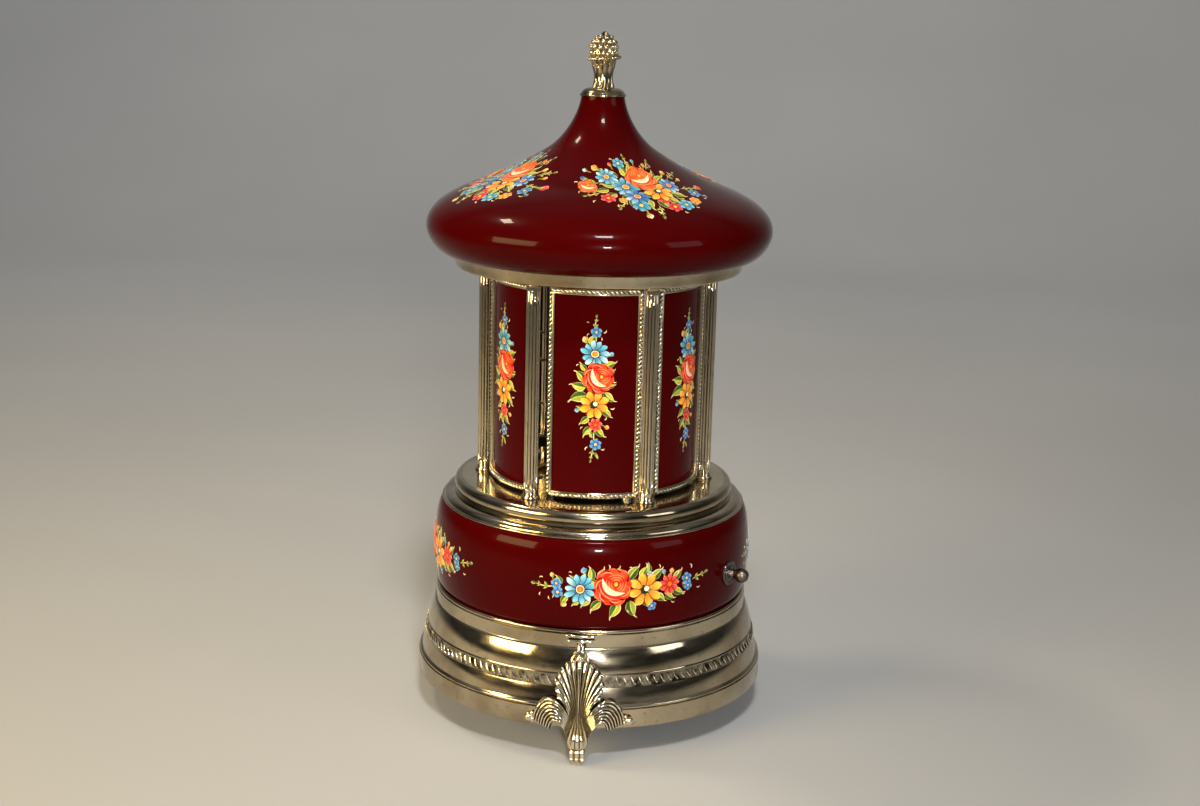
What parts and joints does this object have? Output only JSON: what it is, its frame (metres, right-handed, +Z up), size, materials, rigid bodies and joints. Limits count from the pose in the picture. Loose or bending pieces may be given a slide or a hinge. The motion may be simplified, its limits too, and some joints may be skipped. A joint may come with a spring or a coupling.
{
  "type": "carousel music box",
  "caption": "Round carousel music box with onion roof, plated columns and cast feet, whose curved lacquered doors swing out together from the side knob.",
  "frame": {"origin": "on the table plane under the feet, on the carousel's vertical axis", "axes": "+Z up along the carousel's axis; the front foot and the front door face -Y; +X to the right seen from the front"},
  "size_m": [0.1704, 0.1746, 0.32],
  "materials": {
    "lacquer": "deep burgundy high-gloss lacquer with painted flower sprays",
    "plated_shell": "polished nickel-silver plate, lightly tarnished",
    "plated_trim": "polished plated trim, warm in the hollows",
    "cast_ornament": "cast and plated ornament with darkened hollows",
    "rack_metal": "plated sheet",
    "mirror_post": "mirror-polished sheet",
    "steel": "plain turned steel",
    "knob_metal": "worn plated metal",
    "movement_brass": "machined brass",
    "key_metal": "cast brass",
    "board": "dark stained board"
  },
  "bodies": {
    "case": {"base_moulding": "plated_shell", "bottom_board": "board", "drum": "lacquer", "gallery_ring": "plated_shell", "deck_plate": "plated_shell", "centre_bush": "movement_brass", "centre_post": "mirror_post", "tie_rod": "steel", "top_plate": "plated_shell", "roof_ring": "plated_shell", "roof_dome": "lacquer", "finial_cap": "cast_ornament", "finial": "cast_ornament", "column_1": "plated_trim", "column_2": "plated_trim", "column_3": "plated_trim", "column_4": "plated_trim", "column_5": "plated_trim", "column_6": "plated_trim", "foot_1": "cast_ornament", "foot_2": "cast_ornament", "foot_3": "cast_ornament", "column_screws": "steel", "chassis_screws": "steel", "knob_bush": "plated_trim", "bedplate": "movement_brass", "comb": "steel", "governor_bracket": "movement_brass"},
    "door_1": {"door_panel_1": "lacquer", "door_trim_1": "plated_trim", "door_rack_1": "rack_metal", "door_pivot_1": "steel"},
    "door_2": {"door_panel_2": "lacquer", "door_trim_2": "plated_trim", "door_rack_2": "rack_metal", "door_pivot_2": "steel"},
    "door_3": {"door_panel_3": "lacquer", "door_trim_3": "plated_trim", "door_rack_3": "rack_metal", "door_pivot_3": "steel"},
    "door_4": {"door_panel_4": "lacquer", "door_trim_4": "plated_trim", "door_rack_4": "rack_metal", "door_pivot_4": "steel"},
    "door_5": {"door_panel_5": "lacquer", "door_trim_5": "plated_trim", "door_rack_5": "rack_metal", "door_pivot_5": "steel"},
    "door_6": {"door_panel_6": "lacquer", "door_trim_6": "plated_trim", "door_rack_6": "rack_metal", "door_pivot_6": "steel"},
    "drive": {"drive_plate": "movement_brass"},
    "pull": {"pull_rod": "steel", "pull_knob": "knob_metal"},
    "barrel": {"spring_barrel": "movement_brass"},
    "cylinder": {"melody_cylinder": "movement_brass"},
    "governor_gear": {"governor_arbor": "movement_brass"},
    "fan": {"governor_fan": "steel"},
    "key": {"winding_key": "key_metal"}
  },
  "joints": [
    {"name": "drive_turn", "type": "hinge", "parent": "case", "child": "drive", "pos_m": [0, 0, 0.1015], "axis": [0, 0, -1], "range_deg": [0, 9]},
    {"name": "door_1_hinge", "type": "hinge", "parent": "case", "child": "door_1", "pos_m": [0.01742, -0.04311, 0.16], "axis": [0, 0, 1], "range_deg": [0, 90]},
    {"name": "door_2_hinge", "type": "hinge", "parent": "case", "child": "door_2", "pos_m": [0.04605, -0.00647, 0.16], "axis": [0, 0, 1], "range_deg": [0, 90]},
    {"name": "door_3_hinge", "type": "hinge", "parent": "case", "child": "door_3", "pos_m": [0.02863, 0.03664, 0.16], "axis": [0, 0, 1], "range_deg": [0, 90]},
    {"name": "door_4_hinge", "type": "hinge", "parent": "case", "child": "door_4", "pos_m": [-0.01742, 0.04311, 0.16], "axis": [0, 0, 1], "range_deg": [0, 90]},
    {"name": "door_5_hinge", "type": "hinge", "parent": "case", "child": "door_5", "pos_m": [-0.04605, 0.00647, 0.16], "axis": [0, 0, 1], "range_deg": [0, 90]},
    {"name": "door_6_hinge", "type": "hinge", "parent": "case", "child": "door_6", "pos_m": [-0.02863, -0.03664, 0.16], "axis": [0, 0, 1], "range_deg": [0, 90]},
    {"name": "knob_pull", "type": "slide", "parent": "case", "child": "pull", "axis": [0.866, -0.5, 0], "range_m": [0, 0.005]},
    {"name": "barrel_turn", "type": "hinge", "parent": "case", "child": "barrel", "pos_m": [0, 0, 0.029], "axis": [0, 0, 1], "continuous": true},
    {"name": "cylinder_turn", "type": "hinge", "parent": "case", "child": "cylinder", "pos_m": [0.029, 0, 0.04275], "axis": [1, 0, 0], "continuous": true},
    {"name": "governor_gear_turn", "type": "hinge", "parent": "case", "child": "governor_gear", "pos_m": [0.048, -0.012, 0.04275], "axis": [1, 0, 0], "continuous": true},
    {"name": "fan_turn", "type": "hinge", "parent": "case", "child": "fan", "pos_m": [0.0486, -0.0185, 0.045], "axis": [0, 0, 1], "continuous": true},
    {"name": "key_turn", "type": "hinge", "parent": "case", "child": "key", "pos_m": [0, 0, 0.01], "axis": [0, 0, 1], "continuous": true}
  ],
  "couplings": [
    {"joint": "door_1_hinge", "follows": "drive_turn", "ratio": 10},
    {"joint": "door_2_hinge", "follows": "drive_turn", "ratio": 10},
    {"joint": "door_3_hinge", "follows": "drive_turn", "ratio": 10},
    {"joint": "door_4_hinge", "follows": "drive_turn", "ratio": 10},
    {"joint": "door_5_hinge", "follows": "drive_turn", "ratio": 10},
    {"joint": "door_6_hinge", "follows": "drive_turn", "ratio": 10},
    {"joint": "knob_pull", "follows": "drive_turn", "m_per_rad": 0.031831},
    {"joint": "cylinder_turn", "follows": "barrel_turn", "ratio": 2},
    {"joint": "governor_gear_turn", "follows": "barrel_turn", "ratio": -6},
    {"joint": "fan_turn", "follows": "barrel_turn", "ratio": -36}
  ]
}
